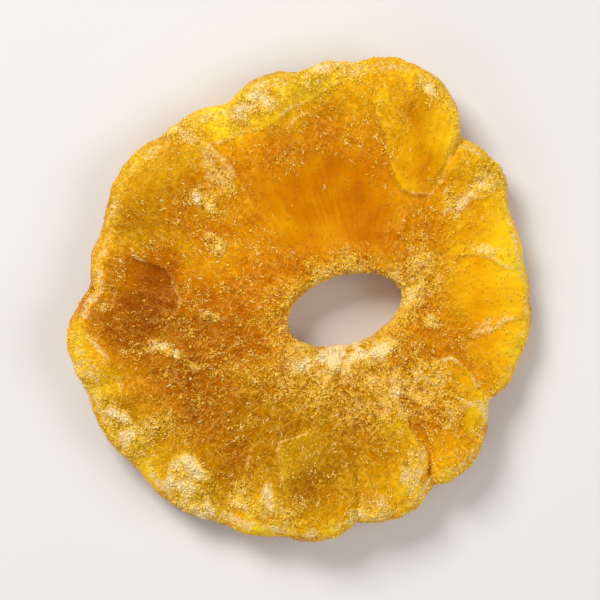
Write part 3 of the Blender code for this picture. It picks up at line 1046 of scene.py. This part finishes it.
def flesh_colour(tree, tone, frost_and_painted_light):
    """The output of a Flesh colour node."""
    inputs = {"Tone": tone, "Frost and painted light": frost_and_painted_light}
    return add_node(tree, "ShaderNodeGroup", inputs, node_tree=FLESH_COLOUR).outputs[0]


def frosting(tree, place_on_piece, crust, grains_per_metre):
    """The outputs of a Sugar frost node: its grains and its strokes."""
    inputs = {"Place": place_on_piece, "Crust": crust, "Grains per metre": grains_per_metre}
    return add_node(tree, "ShaderNodeGroup", inputs, node_tree=SUGAR_FROST).outputs


# %% [markdown]
# The flesh is translucent: light goes in, wanders and comes out coloured, so the shader has a subsurface
# share. Its colour comes from the Flesh colour group, whose tone and painted light and shade are mottled and
# streaked here. Over it lie a milky film where the sugar is thick, then the frost's golden strokes and
# grains.

# %% Candied flesh
PALE_GOLD = (1.0, 0.67, 0.19)
CREAM = (1.0, 0.69, 0.32)
FLESH_SHADER = {
    "Subsurface Weight": 0.3,
    "Subsurface Radius": (1.0, 0.8, 0.4),
    "Subsurface Scale": 0.001,
    "IOR": 1.46,
    "Specular IOR Level": 0.3,
    "Specular Tint": (1.0, 0.68, 0.06, 1.0),
}
# Scale and detail of each noise. The first three have waves to the metre, and the streaks to a fibre cell.
MOTTLE = (150.0, 4.0)
BLOTCH = (600.0, 2.0)
SPECKLE = (1700.0, 2.0)
STREAK = (1.6, 3.0)
FINE_STREAK = (3.5, 2.0)
GRAINS_ON_FLESH = 3000.0
STROKES_ON_FELT = 1.7
DARKEST = 0.8
FILM_STARTS_AND_ENDS = (0.16, 0.9)
FILM_COVER = (0.0, 0.85)
GRAIN_COVER = 0.35
STROKE_COVER = 0.75
FLECK_TONE = 0.4
LEAST_PALENESS = 0.35
FLESH_ROUGHNESS = 0.38
BUMP = {"Strength": 0.9, "Distance": 0.00025}


def flesh_material():
    """Toned flesh, then a milky film, then golden flecks, each mixed over the last by its own mask."""
    material, tree, shader = new_material("Candied flesh", FLESH_SHADER)
    place_on_piece = add_node(tree, "ShaderNodeTexCoord").outputs["Object"]
    tone, frost_and_painted_light, film_value, felt_value = read_values(tree, "tone", "frost_and_painted_light", "film", "felt")
    fibre_vector = add_node(tree, "ShaderNodeAttribute", attribute_name="along_fibre").outputs["Vector"]

    def noise(vector, scale, detail):
        """Noise about zero."""
        node = add_node(tree, "ShaderNodeTexNoise", {"Vector": vector, "Scale": scale, "Detail": detail})
        return maths(tree, "SUBTRACT", node.outputs[0], 0.5)

    def plus(total, *parts):
        """The total plus each part's value times its share."""
        for value, share in parts:
            total = maths(tree, "ADD", total, maths(tree, "MULTIPLY", value, share))
        return total

    mottle = noise(place_on_piece, *MOTTLE)
    blotch = maths(tree, "MULTIPLY", noise(place_on_piece, *BLOTCH), felt_value)
    speckle = noise(place_on_piece, *SPECKLE)
    streak = noise(fibre_vector, *STREAK)
    fine_streak = noise(fibre_vector, *FINE_STREAK)
    rough_felt = maths(tree, "MULTIPLY", speckle, felt_value)
    frost = frosting(tree, place_on_piece, film_value, GRAINS_ON_FLESH)
    stroke_share = maths(tree, "MULTIPLY", felt_value, STROKES_ON_FELT)
    strokes = maths(tree, "MULTIPLY", frost["Strokes"], stroke_share, clamp=True)

    tone_now = plus(tone, (mottle, 0.7), (blotch, 0.6), (streak, 0.3), (rough_felt, 0.8))
    # The brightness with its painted light and shade, speckled and blotched where the flesh is felted, but
    # not below a fixed share of what it was.
    least_glow = maths(tree, "MULTIPLY", frost_and_painted_light, DARKEST)
    glow_now = maths(tree, "MAXIMUM", plus(frost_and_painted_light, (rough_felt, 3.8), (blotch, 1.1)), least_glow)
    unevenness = plus(1.0, (blotch, 2.0), (speckle, 4.0), (fine_streak, 3.0))
    broken_film = maths(tree, "MULTIPLY", film_value, unevenness)
    film = mapped(tree, broken_film, FILM_STARTS_AND_ENDS, FILM_COVER)
    milky = mixed_colour(tree, film, flesh_colour(tree, tone_now, glow_now), CREAM)
    light_flesh = flesh_colour(tree, maths(tree, "ADD", tone, FLECK_TONE), MOST_GLOW)
    paleness = maths(tree, "ADD", film_value, LEAST_PALENESS, clamp=True)
    fleck_colour = mixed_colour(tree, paleness, light_flesh, PALE_GOLD)
    flecks = plus(maths(tree, "MULTIPLY", frost["Grains"], GRAIN_COVER), (strokes, STROKE_COVER))
    tree.links.new(mixed_colour(tree, flecks, milky, fleck_colour), shader.inputs["Base Color"])

    cover = maths(tree, "MAXIMUM", film, flecks)
    tree.links.new(plus(FLESH_ROUGHNESS, (cover, 0.4), (mottle, 0.3)), shader.inputs["Roughness"])
    relief_height = plus(frost["Grains"], (strokes, 0.8), (streak, 0.3), (rough_felt, 2.0))
    bump = add_node(tree, "ShaderNodeBump", {"Height": relief_height, **BUMP})
    tree.links.new(bump.outputs["Normal"], shader.inputs["Normal"])
    return material


flesh.data.materials.append(flesh_material())

# %% [markdown]
# Sugar crystals are clear, so on the fruit they look like the flesh that they sit on, and paler where they
# lie thick. Thousands of small glass bodies would be slow and noisy to render. So each grain is opaque and
# glossy, a mix of the flesh's colour and a tint of sugar. Share and tint go with each grain's brightness.

# %% Sugar
SUGAR_TINTS = [
    (0.0, (0.95, 0.51, 0.015)),
    (0.45, (1.0, 0.63, 0.06)),
    (0.8, (1.0, 0.72, 0.22)),
    (1.0, (1.0, 0.80, 0.45)),
]
SUGAR_SHADER = {"IOR": 1.54, "Specular IOR Level": 0.5, "Specular Tint": (1.0, 0.90, 0.60, 1.0)}
SUGAR_SHARE = 0.22
SUGAR_TONE = 0.3
SUGAR_ROUGHNESS = 0.14
CRUST_ON_SUGAR = 0.3
GRAINS_ON_SUGAR = 6000.0
DUSTING = 0.2
# Each material's shift of the tint, and the pieces that have it.
SUGAR_LOOKS = {
    "Sugar grains": (0.0, ("coarse_sugar", "common_sugar")),
    "Sugar dust": (0.1, ("fine_sugar",)),
    "Sugar strokes": (0.14, ("stroke_sugar",)),
}


def sugar_material(name, tint_shift):
    """The flesh's colour, mixed towards a tint by the grain's brightness plus the shift and a dusting."""
    material, tree, shader = new_material(name, SUGAR_SHADER)
    place_on_piece = add_node(tree, "ShaderNodeTexCoord").outputs["Object"]
    tint, tone, frost_and_painted_light = read_values(tree, "tint", "tone", "frost_and_painted_light")
    frost = frosting(tree, place_on_piece, CRUST_ON_SUGAR, GRAINS_ON_SUGAR)
    dusting = maths(tree, "MULTIPLY", frost["Grains"], DUSTING)
    shade = maths(tree, "ADD", maths(tree, "ADD", tint, tint_shift), dusting, clamp=True)
    # The flesh's colour under each grain, with its painted light and shade.
    under = flesh_colour(tree, maths(tree, "ADD", tone, SUGAR_TONE), frost_and_painted_light)
    own_share = maths(tree, "ADD", shade, SUGAR_SHARE, clamp=True)
    colour = mixed_colour(tree, own_share, under, ramp(tree, shade, SUGAR_TINTS))
    tree.links.new(colour, shader.inputs["Base Color"])
    tree.links.new(maths(tree, "ADD", dusting, SUGAR_ROUGHNESS), shader.inputs["Roughness"])
    return material


for title, (tint_shift, names) in SUGAR_LOOKS.items():
    look = sugar_material(title, tint_shift)
    for name in names:
        loose_sugar[name].data.materials.append(look)
print("materials:", [material.name for material in bpy.data.materials])

# %% [markdown]
# ## What stands for what
#
# The fine ring takes the plain solid's place, and the sugar goes with it.

# %% Riding and replacing
for piece in (flesh, *loose_sugar.values()):
    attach(piece, "root")
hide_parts("pineapple_ring")

# %% [markdown]
# ## Table, light and camera
#
# The table is a plain pale sheet. A soft light stands in for a window at the upper left, with a broader and
# weaker one at the right, a faint one at the lower left and an even sky. The camera looks straight down
# with a long lens.

# %% The table
TABLE_SIZE = 3.0
TABLE_DROP = 0.0001
TABLE_SHADER = {"Base Color": (0.77, 0.76, 0.74, 1.0), "Roughness": 0.7}


def table():
    """A square sheet just under the ring."""
    half = TABLE_SIZE / 2.0
    outline = ((-half, -half), (half, -half), (half, half), (-half, half))
    corners = np.array([(x, y, -TABLE_DROP) for x, y in outline])
    sheet = make_piece("table", corners, np.array([(0, 1, 2, 3)]))
    sheet.data.materials.append(new_material("Pale table", TABLE_SHADER)[0])
    return sheet


table()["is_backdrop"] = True


# %% Lights
# Place and size in metres, power in watts, and colour.
LIGHTS = {
    "window": ((-0.30, 0.40, 0.52), 0.30, 4.2, (1.0, 0.98, 0.95)),
    "fill": ((0.48, -0.05, 0.42), 0.40, 1.6, (1.0, 0.99, 0.98)),
    "low fill": ((-0.40, -0.34, 0.32), 0.40, 0.7, (1.0, 0.99, 0.98)),
}
SKY_STRENGTH = 0.26


def soft_light(name, place_in_metres, size, power, colour):
    """A square area light aimed at the middle of the ring."""
    light = bpy.data.lights.new(name, "AREA")
    light.size, light.energy, light.color = size, power, colour
    lamp = bpy.data.objects.new(name, light)
    lamp.location = place_in_metres
    lamp.rotation_mode = "QUATERNION"
    lamp.rotation_quaternion = (-lamp.location).to_track_quat("-Z", "Y")
    bpy.context.scene.collection.objects.link(lamp)


for name, settings in LIGHTS.items():
    soft_light(name, *settings)
sky = bpy.data.worlds.new("Soft sky")
sky.use_nodes = True
background = sky.node_tree.nodes["Background"].inputs
background["Color"].default_value = (1.0, 1.0, 1.0, 1.0)
background["Strength"].default_value = SKY_STRENGTH
bpy.context.scene.world = sky
bpy.context.scene.view_settings.view_transform = "Standard"
print("lights:", list(LIGHTS))

# %% The camera
CAMERA_HEIGHT = 0.40
RING_SHARE_OF_PICTURE = 0.82

low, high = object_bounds()
camera = bpy.data.cameras.new("camera")
camera.lens = camera.sensor_width * (CAMERA_HEIGHT - high.z) / ((high.y - low.y) / RING_SHARE_OF_PICTURE)
camera_object = bpy.data.objects.new("camera", camera)
camera_object.location = ((low.x + high.x) / 2.0, (low.y + high.y) / 2.0, CAMERA_HEIGHT)
bpy.context.scene.collection.objects.link(camera_object)
bpy.context.scene.camera = camera_object
print("lens", round(camera.lens, 1), "mm at", CAMERA_HEIGHT, "m")
